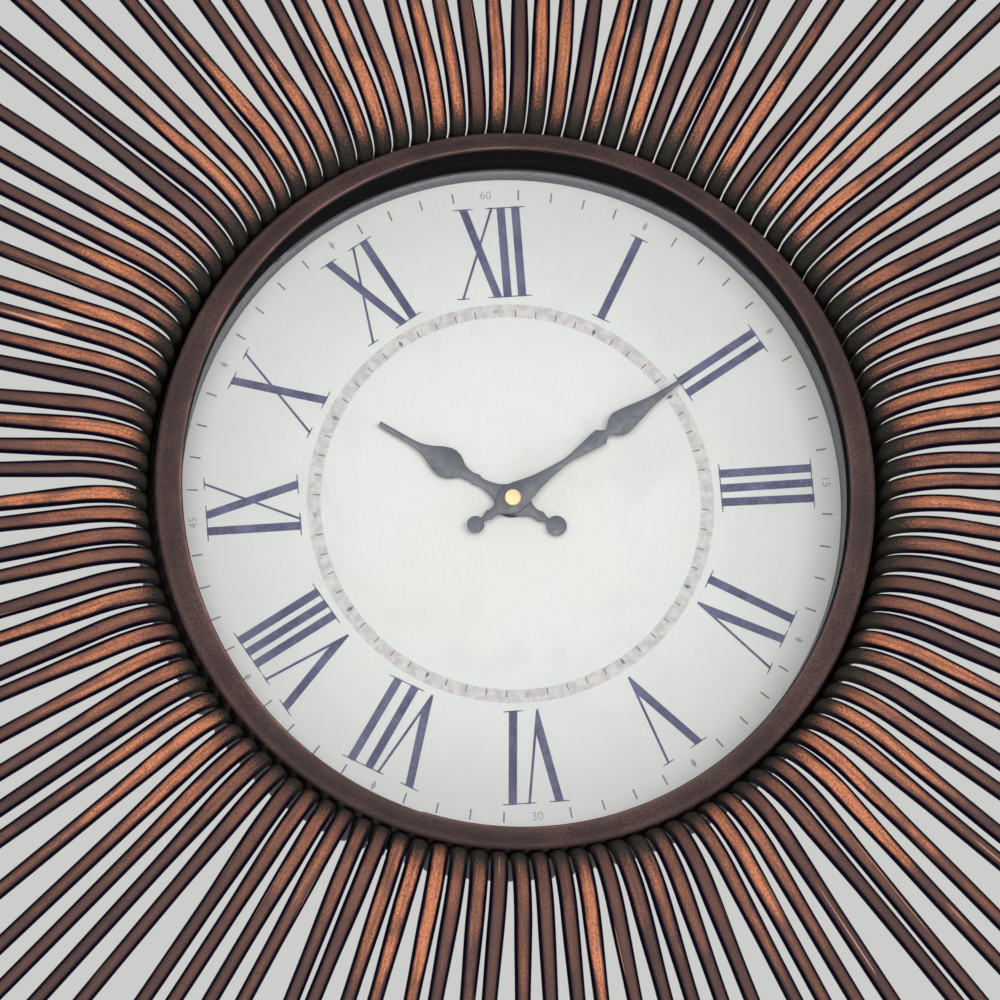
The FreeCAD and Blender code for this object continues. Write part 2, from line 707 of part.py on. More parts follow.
def make_battery():
    """An AA cell across the bottom of the movement, with a contact at each end."""
    cell = new_body("battery")
    sketch = new_sketch(cell, "end_sketch", plane="YZ_Plane", low="-battery_half")
    draw_circle(sketch, "battery_radius", "battery_up", "battery_depth")
    can = cell.newObject("PartDesign::Pad", "battery_can")
    can.Profile = sketch
    can.setExpression("Length", bound("2 * battery_half"))
    cell.Tip = can
    sketch = new_sketch(cell, "button_sketch", plane="YZ_Plane", low="battery_half")
    draw_circle(sketch, "2.7", "battery_up", "battery_depth")
    button = cell.newObject("PartDesign::Pad", "battery_button")
    button.Profile = sketch
    button.Length = 1.1
    cell.Tip = button
    inside = "box_half - box_wall"
    for label, near, far in (
        ("positive_contact", f"{inside} - 0.5", inside),
        ("negative_contact", f"-({inside})", f"-({inside}) + 0.5"),
    ):
        body = new_body(label)
        plate = box_corners(near, far, "battery_up - 4", "battery_up + 4")
        pad(body, "plate", "battery_depth - 4", "box_split", outline(plate))


# ---- Hands ------------------------------------------------------------------------------------


def mirrored(side):
    """A hand's whole outline from its right-hand side, given from tail to tip."""
    left = [(f"-({x})", y) for x, y in reversed(side) if x != "0"]
    return list(side) + left


def make_hand(label, side, low, hole, hub, tail_up, tail_radius, clock_angle):
    """A flat hand that points clock_angle degrees clockwise from twelve."""
    body = new_body(label)
    turn = -clock_angle
    high = f"{low} + hand_thick"
    pad(body, "blade", low, high, outline(mirrored(side)), turn=turn)
    pad(body, "hub", low, high, circles((hub, "0", "0")), turn=turn)
    pad(body, "tail", low, high, circles((tail_radius, "0", tail_up)), turn=turn)
    pocket(body, "hole", low, high, circles((hole, "0", "0")), turn=turn)
    return body


def make_hands():
    """Spade-leaf hands at about ten past ten, each with a round counterweight."""
    hour_side = [
        ("1.6", "-22"),
        ("2.1", "-15"),
        ("2.2", "0"),
        ("2.8", "18.8"),
        ("2.6", "22"),
        ("3.2", "24.8"),
        ("6.2", "31.5"),
        ("7.4", "36.1"),
        ("5.4", "41"),
        ("2.8", "47"),
        ("1.4", "53.6"),
        ("1.3", "70.4"),
        ("0.6", "71.2"),
    ]
    make_hand("hour_hand", hour_side, "hour_low", "tube_outer", "7", "-24.1", "4.8", 304.5)
    minute_side = [
        ("1.5", "-19"),
        ("2.1", "-14.3"),
        ("2.3", "0"),
        ("1.9", "35"),
        ("4.1", "51.4"),
        ("1.6", "55.3"),
        ("6.45", "62.8"),
        ("4.6", "71"),
        ("1.9", "88.9"),
        ("0.9", "96"),
        ("0.4", "102"),
    ]
    make_hand("minute_hand", minute_side, "minute_low", "shaft_radius", "7", "-21.2", "4.1", 58.5)
    cap = new_body("cap_nut")
    pad(cap, "dome", "minute_low + hand_thick + 0.4", "cap_high", circles(("cap_radius", "0", "0")))
    bore(cap, "thread", "1.1", "minute_low + hand_thick + 0.4", "cap_high - 1")


def check_and_write():
    doc.recompute()
    for thing in doc.Objects:
        bad = [word for word in thing.State if word in ("Invalid", "Error")]
        if bad:
            raise RuntimeError(f"{thing.Label} is {bad}")
    for part in subparts:
        shape = part.Shape
        if shape.isNull() or not shape.isValid() or not shape.Solids:
            raise RuntimeError(f"{part.Label} has no valid solid")
        shape.exportStep(f"parts/{part.Label}.step")
        box = shape.BoundBox
        print(f"{part.Label:22} solids {len(shape.Solids):3} volume {shape.Volume:10.1f} "
              f"depth {-box.YMax:6.2f} to {-box.YMin:6.2f}")


make_drum()
make_bezel()
make_hoops()
make_dial()
make_clips()
make_rear_panel()
make_panel_brackets()
make_panel_screws()
make_hanger()
make_bumpers()
make_movement_box()
make_centre_stack()
make_wheels()
make_motor()
make_battery()
make_hands()
make_rays()
check_and_write()
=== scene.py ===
import math

import bpy
from mathutils import Matrix, Vector
from mathutils.noise import noise


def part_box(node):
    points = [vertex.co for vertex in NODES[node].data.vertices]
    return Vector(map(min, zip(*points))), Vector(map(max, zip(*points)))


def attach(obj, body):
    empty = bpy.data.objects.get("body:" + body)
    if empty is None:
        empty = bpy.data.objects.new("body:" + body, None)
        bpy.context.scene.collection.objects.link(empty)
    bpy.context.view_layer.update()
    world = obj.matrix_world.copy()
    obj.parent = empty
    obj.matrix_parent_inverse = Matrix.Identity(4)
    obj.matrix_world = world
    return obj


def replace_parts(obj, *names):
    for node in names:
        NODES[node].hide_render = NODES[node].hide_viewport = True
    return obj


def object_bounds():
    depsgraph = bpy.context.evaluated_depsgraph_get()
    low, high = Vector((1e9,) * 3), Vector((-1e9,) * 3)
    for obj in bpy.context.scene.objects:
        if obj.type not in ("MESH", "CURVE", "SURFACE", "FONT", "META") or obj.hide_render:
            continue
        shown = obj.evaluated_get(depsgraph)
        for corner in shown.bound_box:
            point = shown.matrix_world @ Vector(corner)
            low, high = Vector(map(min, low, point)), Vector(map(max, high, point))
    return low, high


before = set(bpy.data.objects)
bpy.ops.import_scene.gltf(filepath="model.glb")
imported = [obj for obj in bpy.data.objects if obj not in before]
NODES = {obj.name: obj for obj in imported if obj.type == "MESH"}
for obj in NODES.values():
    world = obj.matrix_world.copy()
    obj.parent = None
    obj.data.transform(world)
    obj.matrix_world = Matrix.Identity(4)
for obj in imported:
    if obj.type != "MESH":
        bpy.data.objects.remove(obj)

CAD_LOW, CAD_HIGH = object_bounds()
MM = 0.001


# ---- Places taken from the CAD model, in millimetres from the wall and from the dial's middle ----


def depth_of(node, front=True):
    """How far a node's front or rear is from the wall, in millimetres."""
    low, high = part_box(node)
    return -(low.y if front else high.y) / MM


def radius_of(node):
    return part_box(node)[1].x / MM


PAPER_TOP = depth_of("dial_paper")
GLASS_REAR = depth_of("glass", front=False)
BEZEL_OUT = radius_of("bezel")
BEZEL_FRONT = depth_of("bezel")
BEZEL_REAR = depth_of("bezel", front=False)


# ---- Materials ------------------------------------------------------------------------------


class Paint:
    """A material and short calls that add nodes to it. Most calls return an output socket."""

    def __init__(self, name, rough=0.5, metal=0.0, **settings):
        self.material = bpy.data.materials.new(name)
        self.material.use_nodes = True
        self.tree = self.material.node_tree
        self.shader = next(n for n in self.tree.nodes if n.type == "BSDF_PRINCIPLED")
        self.set("Roughness", rough)
        self.set("Metallic", metal)
        for key, value in settings.items():
            self.set(key.replace("_", " "), value)

    def fill(self, socket, value):
        """Links an output socket to an input socket, or sets a plain value there."""
        if isinstance(value, bpy.types.NodeSocket):
            self.tree.links.new(value, socket)
        else:
            socket.default_value = (*value, 1) if socket.type == "RGBA" else value

    def set(self, name, value):
        self.fill(self.shader.inputs[name], value)

    def node(self, kind, inputs=(), **settings):
        made = self.tree.nodes.new(kind)
        for key, value in settings.items():
            setattr(made, key, value)
        for key, value in dict(inputs).items():
            self.fill(made.inputs[key], value)
        return made

    def attribute(self, name, part="Fac"):
        return self.node("ShaderNodeAttribute", attribute_name=name).outputs[part]

    def place(self, scale=(1, 1, 1), source=None):
        """The row-frame position in metres times scale, or another vector times it."""
        source = source or self.node("ShaderNodeTexCoord").outputs["Object"]
        made = self.node("ShaderNodeVectorMath", {0: source, 1: scale}, operation="MULTIPLY")
        return made.outputs[0]

    def noise(self, scale, detail=3.0, rough=0.55, vector=None):
        """Cloudy values about 0.5; scale is in features per metre."""
        vector = vector or self.place()
        inputs = {"Vector": vector, "Scale": scale, "Detail": detail, "Roughness": rough}
        return self.node("ShaderNodeTexNoise", inputs).outputs["Fac"]

    def cells(self, scale, vector=None):
        """The distance to the nearest of scattered points, in cell widths."""
        vector = vector or self.place()
        made = self.node("ShaderNodeTexVoronoi", {"Vector": vector, "Scale": scale})
        return made.outputs["Distance"]

    def span(self, value, low, high, to_low=0.0, to_high=1.0):
        """value from low..high to to_low..to_high, smoothly and no further."""
        inputs = {"Value": value, "From Min": low, "From Max": high,
                  "To Min": to_low, "To Max": to_high}
        return self.node("ShaderNodeMapRange", inputs, interpolation_type="SMOOTHSTEP").outputs[0]

    def math(self, operation, *values, clamp=False):
        made = self.node("ShaderNodeMath", enumerate(values), operation=operation, use_clamp=clamp)
        return made.outputs[0]

    def plus(self, a, b):
        return self.math("ADD", a, b)

    def minus(self, a, b):
        return self.math("SUBTRACT", a, b)

    def times(self, a, b, clamp=False):
        return self.math("MULTIPLY", a, b, clamp=clamp)

    def swing(self, value, size):
        """A cloudy value about 0.5 as a change about 0, from -size / 2 to size / 2."""
        return self.times(self.minus(value, 0.5), size)

    def mix(self, share, a, b):
        """Colour a where share is 0, and b where it is 1."""
        made = self.node("ShaderNodeMix", data_type="RGBA")
        for socket, value in zip([i for i in made.inputs if i.enabled], (share, a, b)):
            self.fill(socket, value)
        return next(o for o in made.outputs if o.enabled)

    def bump(self, height, depth_mm):
        made = self.node("ShaderNodeBump", {"Height": height, "Distance": depth_mm * MM})
        self.set("Normal", made.outputs[0])


def give(paint, *nodes):
    for name in nodes:
        materials = NODES[name].data.materials
        materials.clear()
        materials.append(paint.material)


def ray_paint():
    """Dark bronze paint, rubbed back to copper along the front of each tube; that band of copper is
    partly a painted highlight, and the sides are darkened as painted shade.

    It reads values made with the tubes: face is 1 at a tube's front, 0 at its sides and -1 at its
    back; along is metres past the bend's crest; tone and other_tone differ from tube to tube;
    brush is metres along and round the tube. The copper starts in the bend and fades outwards.
    """
    p = Paint("ray_finish", Specular_IOR_Level=0.04)
    face, along, tone = p.attribute("face"), p.attribute("along"), p.attribute("tone")
    other = p.attribute("other_tone")
    brush = p.attribute("brush", "Vector")
    streaks = p.noise(1, 4, 0.6, p.place((22, 700, 1), brush))
    patches = p.noise(1, 3, 0.6, p.place((45, 110, 1), brush))
    fine = p.noise(1, 3, 0.7, p.place((900, 1300, 1), brush))
    speck = p.span(fine, 0.36, 0.64)

    # How much copper shows: along the middle of the front, between a start and a fading end; the
    # narrow band along the middle is partly rubbed copper and partly a painted highlight
    uneven_face = p.plus(face, p.swing(patches, 0.35))
    reach = p.plus(along, p.times(p.minus(0.5, tone), 35 * MM))
    narrower = p.span(reach, 0.0, 55 * MM, 0.0, 0.14)
    # Painted highlight in part: the copper keeps to a narrow band along the middle of the front,
    # narrowing outwards
    middle = p.span(p.minus(uneven_face, narrower), 0.76, 0.98)
    shift = p.swing(other, 10 * MM)
    start = p.plus(p.plus(along, shift), p.swing(fine, 20 * MM))
    begins = p.span(start, -29 * MM, -12 * MM)
    lasts = p.span(reach, 0.0, 75 * MM, 1.0, 0.30)
    amount = p.times(p.times(middle, begins), lasts)
    amount = p.times(amount, p.span(tone, 0.1, 0.95, 0.10, 1.2))
    amount = p.times(amount, p.span(streaks, 0.32, 0.68, 0.35, 1.25))
    amount = p.times(amount, p.span(patches, 0.3, 0.62, 0.45, 1.1), clamp=True)

    # The paint: brown on the run, nearly black on the bend and leg, and darker at the sides as
    # painted shade
    dark_brown, red_brown = (0.046, 0.032, 0.033), (0.096, 0.050, 0.042)
    olive, rosy = (0.038, 0.036, 0.030), (0.110, 0.060, 0.056)
    brown = p.mix(p.span(other, 0, 1), dark_brown, red_brown)
    brown = p.mix(p.times(p.span(streaks, 0.45, 0.7), 0.6), brown, olive)
    brown = p.mix(p.times(speck, 0.35), brown, rosy)
    leg = p.mix(speck, (0.016, 0.0155, 0.014), (0.046, 0.043, 0.034))
    bent = p.span(start, -33 * MM, -14 * MM)
    body = p.mix(bent, leg, brown)
    # Painted shade: the sides of each tube go near black, purplish on the run, as if the light
    # missed them
    lit_front_share = p.span(p.plus(face, p.swing(fine, 0.10)), 0.74, 0.955)
    leg_side_shade, run_side_shade = (0.020, 0.019, 0.018), (0.0024, 0.0012, 0.0072)
    side = p.mix(bent, leg_side_shade, run_side_shade)
    back = p.mix(speck, (0.030, 0.021, 0.019), (0.052, 0.034, 0.029))
    side = p.mix(p.span(face, -0.55, -0.12), back, side)
    colour = p.mix(lit_front_share, side, body)
    dull_copper, bright_copper = (0.27, 0.105, 0.062), (0.60, 0.215, 0.105)
    copper = p.mix(speck, dull_copper, bright_copper)
    colour = p.mix(amount, colour, copper)

    # Small dark pits and fine bright scratches
    pits = p.cells(1, p.place((420, 420, 1), brush))
    pitted = p.times(p.span(pits, 0.10, 0.2, 1, 0), p.span(patches, 0.5, 0.62))
    colour = p.mix(p.times(pitted, 0.75), colour, (0.02, 0.014, 0.014))
    scratch = p.span(p.noise(1, 2, 0.5, p.place((9, 620, 1), brush)), 0.69, 0.72)
    scratch = p.times(p.times(scratch, p.span(face, 0.65, 0.9)), begins)
    colour = p.mix(p.times(scratch, 0.6), colour, (0.70, 0.38, 0.26))
    p.set("Base Color", colour)
    p.set("Roughness", p.span(fine, 0.3, 0.7, 0.36, 0.52))
    p.bump(p.minus(p.plus(fine, streaks), pitted), 0.06)
    return p


def bezel_paint():
    """The same bronze paint, smoother, with copper showing along the frame's front ridge, partly as
    a painted highlight, and painted shade, nearly black, on its inner wall and in its folds.
    """
    p = Paint("bezel_finish", metal=0.05, Specular_IOR_Level=0.15)
    wear_and_highlight, painted_shade = p.attribute("wear_and_highlight"), p.attribute("painted_shade")
    clouds = p.noise(34, 4, 0.6)
    fine = p.noise(1400, 3, 0.65)
    colour = p.mix(p.span(clouds, 0.35, 0.68), (0.062, 0.039, 0.037), (0.108, 0.062, 0.056))
    colour = p.mix(p.span(fine, 0.38, 0.66), colour, (0.036, 0.027, 0.027))
    # Copper on the ridge: partly wear, partly a painted highlight
    rubbed_and_highlight = p.times(wear_and_highlight, p.span(p.noise(26, 3, 0.6), 0.36, 0.62, 0.15, 1.0))
    copper_wear_and_highlight, shadow = (0.24, 0.115, 0.105), (0.003, 0.0025, 0.003)
    colour = p.mix(rubbed_and_highlight, colour, copper_wear_and_highlight)
    # Painted shade: the inner wall, the folds and the rear of the frame go nearly black
    colour = p.mix(painted_shade, colour, shadow)
    scratch = p.span(p.noise(1, 2, 0.5, p.place((240, 8, 1500))), 0.70, 0.73)
    colour = p.mix(p.times(scratch, 0.25), colour, (0.20, 0.12, 0.10))
    p.set("Base Color", colour)
    p.set("Roughness", p.span(fine, 0.3, 0.7, 0.40, 0.55))
    p.bump(p.plus(fine, p.times(clouds, 2)), 0.035)
    return p


def paper_paint():
    """Printed paper: off-white, a little darker towards its edge as painted shade from the frame's
    wall, with faint marks of age.
    """
    p = Paint("dial_paper_print", rough=0.6, Specular_IOR_Level=0.25)
    flat = p.place((1, 0, 1))
    out = p.node("ShaderNodeVectorMath", {0: flat}, operation="LENGTH").outputs["Value"]
    clouds = p.noise(22, 5, 0.62)
    stains = p.noise(7, 3, 0.5)
    grain = p.noise(900, 3, 0.7)
    middle, shaded_rim = (0.700, 0.690, 0.675), (0.605, 0.585, 0.583)
    # Painted shade: the paper darkens towards the frame's deep wall
    colour = p.mix(p.span(out, 40 * MM, 160 * MM), middle, shaded_rim)
    colour = p.mix(p.times(p.span(clouds, 0.46, 0.68), 0.40), colour, (0.565, 0.555, 0.55))
    colour = p.mix(p.times(p.span(stains, 0.5, 0.75), 0.3), colour, (0.64, 0.615, 0.575))
    colour = p.mix(p.times(p.span(grain, 0.45, 0.70), 0.22), colour, (0.45, 0.445, 0.45))
    p.set("Base Color", colour)
    p.bump(grain, 0.02)
    return p


def ink_paint(name, light, dark, fade, size=60):
    """Ink that lets a little of the paper's grain through."""
    p = Paint(name, rough=0.55, Specular_IOR_Level=0.25)
    grain = p.noise(700, 3, 0.7)
    cloud = p.noise(size, 3, 0.6)
    colour = p.mix(p.span(cloud, 0.35, 0.65), dark, light)
    colour = p.mix(p.times(p.span(grain, 0.5, 0.75), fade), colour, (0.42, 0.43, 0.45))
    p.set("Base Color", colour)
    return p


def board_paint():
    """Grey card with short fibres, painted darker as the frame's shade falls on it."""
    p = Paint("spacer_board", rough=0.7)
    fibre = p.noise(500, 4, 0.7)
    # Painted shade: the grey is darker than the card itself, as the frame shades it
    dark, light = (0.172, 0.165, 0.182), (0.25, 0.24, 0.26)
    p.set("Base Color", p.mix(p.span(fibre, 0.3, 0.7), dark, light))
    p.bump(fibre, 0.05)
    return p


def liner_paint():
    """Matt and nearly black."""
    p = Paint("liner_black", rough=0.95, Specular_IOR_Level=0.02)
    dark, light = (0.0035, 0.003, 0.0035), (0.011, 0.0095, 0.010)
    p.set("Base Color", p.mix(p.noise(700, 3, 0.7), dark, light))
    return p


def gasket_paint():
    """Nearly black: a black gasket, with the painted shade of the frame's recess."""
    # Painted shade: the gasket stays nearly black in the frame's recess
    p = Paint("shadow_black")
    p.set("Base Color", p.mix(p.noise(900, 3), (0.006, 0.006, 0.007), (0.022, 0.02, 0.02)))
    return p


def metal_paint(name, colour, dark, rough, scale, metal=1.0, stretch=(1, 1, 1), depth=0.02, **more):
    """Bare, plated or thinly painted metal with fine marks and slight stains."""
    p = Paint(name, metal=metal, **more)
    marks = p.noise(1, 4, 0.65, p.place(tuple(scale * s for s in stretch)))
    stains = p.noise(90, 3, 0.6)
    shade = p.mix(p.span(stains, 0.35, 0.75), colour, dark)
    shade = p.mix(p.times(p.span(marks, 0.5, 0.75), 0.5), shade, dark)
    p.set("Base Color", shade)
    p.set("Roughness", p.span(marks, 0.3, 0.7, rough * 0.8, rough * 1.3))
    p.bump(marks, depth)
    return p


def plastic_paint(name, colour, rough, grain, depth):
    """Moulded plastic or rubber with a fine spark-eroded grain."""
    p = Paint(name, rough=rough)
    spark = p.cells(grain)
    clouds = p.noise(45, 3, 0.6)
    pale = tuple(c + (0.5 - c) * 0.1 for c in colour)
    p.set("Base Color", p.mix(p.span(clouds, 0.3, 0.75), colour, pale))
    p.set("Roughness", p.span(spark, 0.0, 0.7, rough * 0.9, rough * 1.15))
    p.bump(spark, depth)
    return p


def hardboard_paint():
    """Pressed wood fibre: brown, speckled with pale and dark fibres that lie all ways."""
    p = Paint("hardboard_fibre", rough=0.72, Specular_IOR_Level=0.3)
    fibres = p.noise(1, 5, 0.7, p.place((260, 60, 900)))
    across = p.noise(1, 5, 0.7, p.place((900, 60, 260)))
    clouds = p.noise(14, 4, 0.6)
    colour = p.mix(p.span(clouds, 0.35, 0.7), (0.235, 0.135, 0.072), (0.165, 0.090, 0.048))
    colour = p.mix(p.times(p.span(fibres, 0.52, 0.72), 0.55), colour, (0.40, 0.27, 0.16))
    colour = p.mix(p.times(p.span(across, 0.55, 0.75), 0.55), colour, (0.075, 0.04, 0.022))
    p.set("Base Color", colour)
    p.set("Roughness", p.span(fibres, 0.3, 0.7, 0.6, 0.85))
    p.bump(p.plus(fibres, across), 0.12)
    return p


def glass_paint():
    """Clear window glass: it mirrors a little, more at a slant, and lets the rest through."""
    least_mirrored = 0.012
    p = Paint("clear_glass")
    p.tree.nodes.remove(p.shader)
    clear = p.node("ShaderNodeBsdfTransparent", {"Color": (0.965, 0.975, 0.97)})
    gloss = p.node("ShaderNodeBsdfGlossy", {"Color": (1, 1, 1), "Roughness": 0.03})
    slant = p.node("ShaderNodeLayerWeight", {"Blend": 0.5}).outputs["Facing"]
    share = p.math("MULTIPLY_ADD", p.math("POWER", slant, 5.0), 1 - least_mirrored, least_mirrored)
    both = p.node("ShaderNodeMixShader", {0: share, 1: clear.outputs[0], 2: gloss.outputs[0]})
    output = next(n for n in p.tree.nodes if n.type == "OUTPUT_MATERIAL")
    p.tree.links.new(both.outputs[0], output.inputs["Surface"])
    return p


def battery_paint():
    """A plain cell: dark jacket, a copper-coloured band at its positive end, bare steel ends."""
    band_starts, ends_start = 10.5 * MM, 23.8 * MM
    jacket, band, steel = (0.022, 0.024, 0.030), (0.50, 0.27, 0.12), (0.62, 0.62, 0.60)
    p = Paint("battery_jacket", metal=0.6, Specular_IOR_Level=0.5)
    across = p.node("ShaderNodeSeparateXYZ", {0: p.place()}).outputs[0]
    marks = p.noise(500, 3, 0.6)
    colour = p.mix(p.math("GREATER_THAN", across, band_starts), jacket, band)
    bare = p.math("GREATER_THAN", p.math("ABSOLUTE", across), ends_start)
    colour = p.mix(bare, colour, steel)
    p.set("Base Color", p.mix(p.times(marks, 0.25), colour, (0.2, 0.19, 0.18)))
    p.set("Roughness", p.span(marks, 0.3, 0.7, 0.25, 0.38))
    return p


# ---- Mesh helpers ---------------------------------------------------------------------------


def row(x, up, depth):
    """A point in the row frame from millimetres across, up the dial and out from the wall."""
    return Vector((x * MM, -depth * MM, up * MM))


def add_mesh(name, verts, faces, paint, body="case", smooth=True, values=()):
    """A piece from points and faces; values are (name, kind, one value for each point)."""
    mesh = bpy.data.meshes.new(name)
    mesh.from_pydata([tuple(v) for v in verts], [], faces)
    for key, kind, numbers in values:
        attribute = mesh.attributes.new(key, kind, "POINT")
        if kind == "FLOAT_VECTOR":
            attribute.data.foreach_set("vector", [c for v in numbers for c in v])
        else:
            attribute.data.foreach_set("value", list(numbers))
    mesh.update()
    for polygon in mesh.polygons:
        polygon.use_smooth = smooth
    piece = bpy.data.objects.new(name, mesh)
    bpy.context.scene.collection.objects.link(piece)
    mesh.materials.append(paint.material)
    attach(piece, body)
    return piece


def skin(rings):
    """Points and faces of a solid over rings of equally many points, each following the last."""
    count = len(rings[0])
    verts = [p for ring in rings for p in ring]
    faces = []
    for i in range(len(rings) - 1):
        for j in range(count):
            k = (j + 1) % count
            faces.append((i * count + j, i * count + k, (i + 1) * count + k, (i + 1) * count + j))
    faces.append(tuple(reversed(range(count))))
    last = (len(rings) - 1) * count
    faces.append(tuple(range(last, last + count)))
    return verts, faces


def lathe(name, profile, paint, body="case", steps=192, wobble=None, values=(), smooth=True):
    """A closed profile of (radius, depth) points turned about the dial's axis.

    wobble(angle, radius, depth) returns a changed (radius, depth) at each angle.
    values are pairs of an attribute's name and a function of (profile index, angle).
    """
    verts, faces, count = [], [], len(profile)
    angles = [2 * math.pi * i / steps for i in range(steps)]
    for angle in angles:
        for radius, depth in profile:
            if wobble:
                radius, depth = wobble(angle, radius, depth)
            verts.append(row(radius * math.sin(angle), radius * math.cos(angle), depth))
    for i in range(steps):
        after = (i + 1) % steps
        for j in range(count):
            k = (j + 1) % count
            faces.append((i * count + j, after * count + j, after * count + k, i * count + k))
    extra = [(key, "FLOAT", [rule(j, angle) for angle in angles for j in range(count)])
             for key, rule in values]
    return add_mesh(name, verts, faces, paint, body, smooth, extra)


def smoothstep(value, low, high):
    t = min(1.0, max(0.0, (value - low) / (high - low)))
    return t * t * (3 - 2 * t)


# ---- Rays -----------------------------------------------------------------------------------

# As in the CAD model, in millimetres, but for the run's width, which is 6.35 there
RAY_COUNT = 120
IN_GROUP = 6
LEG_RADIUS = 171.5
LEG_LOW = 5.0
BEND_RADIUS = 26.5
CREST_DEPTH = 87.5
RUN_SLOPE = math.radians(11.3)
TUBE_RADIUS = 3.175
RUN_HALF_WIDTH = 3.55
BEND_HALF_WIDTH = 4.15
BEND_HALF_DEPTH = 2.6
FLAT_LENGTH = 42.0
OUTER_RADIUS = 381.0
LEAN = math.radians(1.9)
LIFT = 1.1

# Only here: how far a run bows sideways, how much bends differ in width, how much tones differ
BOW = 1.26
WIDTH_SPREAD = 0.05
TONE_SPREAD = 0.85

# How finely a tube is divided: round it, along its leg and bend, and along its run, where the
# steps grow outwards
AROUND = 28
LEG_STEPS = 9
BEND_STEPS = 22
RUN_STEPS = 44
RUN_STEP_GROWTH = 1.15


def uneven(index, rate, offset):
    """A steady but uneven value from -1 to 1 for each ray, the same as in the CAD model."""
    return math.sin(index * rate + offset) * math.cos(index * rate * 0.37 + 2 * offset)


def ray_stations():
    """The tube's middle line, and the length of its run.

    Each point is (distance past the crest, radius, depth, angle of the line's direction).
    """
    middle = CREST_DEPTH - BEND_RADIUS
    crest_arc = BEND_RADIUS * math.pi / 2
    found = []
    for i in range(LEG_STEPS):
        depth = LEG_LOW + (middle - LEG_LOW) * i / LEG_STEPS
        found.append((depth - middle - crest_arc, LEG_RADIUS, depth, math.pi / 2))
    for i in range(BEND_STEPS):
        turned = (math.pi / 2 + RUN_SLOPE) * i / BEND_STEPS
        x = LEG_RADIUS + BEND_RADIUS * (1 - math.cos(turned))
        depth = middle + BEND_RADIUS * math.sin(turned)
        found.append((BEND_RADIUS * turned - crest_arc, x, depth, math.pi / 2 - turned))
    start_x = LEG_RADIUS + BEND_RADIUS * (1 + math.sin(RUN_SLOPE))
    start_depth = middle + BEND_RADIUS * math.cos(RUN_SLOPE)
    end_x = OUTER_RADIUS - TUBE_RADIUS * math.sin(RUN_SLOPE)
    length = (end_x - start_x) / math.cos(RUN_SLOPE)
    for i in range(RUN_STEPS + 1):
        run = length * (i / RUN_STEPS) ** RUN_STEP_GROWTH
        found.append((BEND_RADIUS * RUN_SLOPE + run, start_x + run * math.cos(RUN_SLOPE),
                      start_depth - run * math.sin(RUN_SLOPE), -RUN_SLOPE))
    return found, length


def ray_rings(index, stations, length):
    """One ray's rings of points, with the values its finish reads."""
    azimuth = math.radians(360 / RAY_COUNT * (index + 0.5))
    lean = LEAN * uneven(index, 2.4, 0.7)
    lift = LIFT * uneven(index, 1.7, 2.1)
    bow = BOW * uneven(index, 3.3, 1.1)
    wider = WIDTH_SPREAD * uneven(index, 4.1, 0.4)
    tone = 0.5 + TONE_SPREAD * noise(Vector((index * 1.71, 3.1, 0.4)))
    other = 0.5 + TONE_SPREAD * noise(Vector((index * 2.37, 8.2, 5.4)))
    rings, face, along, brush = [], [], [], []
    for s, radius, depth, heading in stations:
        past_bend = max(0.0, s - BEND_RADIUS * RUN_SLOPE)
        rounded = smoothstep(past_bend, 0, FLAT_LENGTH)
        wide = BEND_HALF_WIDTH + (RUN_HALF_WIDTH - BEND_HALF_WIDTH) * rounded
        wide *= 1 + wider * (1 - rounded)
        thin = BEND_HALF_DEPTH + (TUBE_RADIUS - BEND_HALF_DEPTH) * rounded
        side = bow * math.sin(math.pi * min(1.0, past_bend / length))
        ring = []
        for j in range(AROUND):
            t = 2 * math.pi * j / AROUND
            sideways, outward = side + wide * math.cos(t), thin * math.sin(t)
            off = radius - outward * math.sin(heading) - LEG_RADIUS
            high = depth + outward * math.cos(heading)
            x = off * math.cos(lean) - sideways * math.sin(lean) + LEG_RADIUS
            sideways = off * math.sin(lean) + sideways * math.cos(lean)
            ring.append(row(x * math.cos(azimuth) - sideways * math.sin(azimuth),
                            x * math.sin(azimuth) + sideways * math.cos(azimuth), high + lift))
            face.append(math.copysign(abs(math.sin(t)) ** 0.8, math.sin(t)))
            along.append(s * MM)
            round_tube = min(t, 2 * math.pi - t) * TUBE_RADIUS
            brush.append((s * MM, round_tube * MM, index * 7.0))
        rings.append(ring)

    # The end is slightly domed
    end = rings[-1]
    middle = sum(end, Vector()) / AROUND
    forwards = (end[0] - rings[-2][0]).normalized()
    for shrink in (0.86, 0.5):
        rise = forwards * 0.4 * MM * (1 - shrink)
        rings.append([middle + (p - middle) * shrink + rise for p in end])
        face.extend(face[-AROUND:])
        along.extend(along[-AROUND:])
        brush.extend(brush[-AROUND:])
    return rings, face, along, brush, tone, other


def make_rays(paint):
    stations, length = ray_stations()
    for group in range(RAY_COUNT // IN_GROUP):
        verts, faces, face, along, brush, tone, other = [], [], [], [], [], [], []
        for index in range(group * IN_GROUP, (group + 1) * IN_GROUP):
            one = ray_rings(index, stations, length)
            rings, one_face, one_along, one_brush, one_tone, one_other = one
            more, more_faces = skin(rings)
            start = len(verts)
            verts.extend(more)
            faces.extend(tuple(start + v for v in f) for f in more_faces)
            face.extend(one_face)
            along.extend(one_along)
            brush.extend(one_brush)
            tone.extend([one_tone] * len(more))
            other.extend([one_other] * len(more))
        values = (("face", "FLOAT", face), ("along", "FLOAT", along), ("tone", "FLOAT", tone),
                  ("other_tone", "FLOAT", other), ("brush", "FLOAT_VECTOR", brush))
        number = f"{group + 1:02d}"
        piece = add_mesh("rays_" + number, verts, faces, paint, values=values)
        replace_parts(piece, "ray_fan_" + number)


# ---- Frame, its lining and the dial's spacer ------------------------------------------------

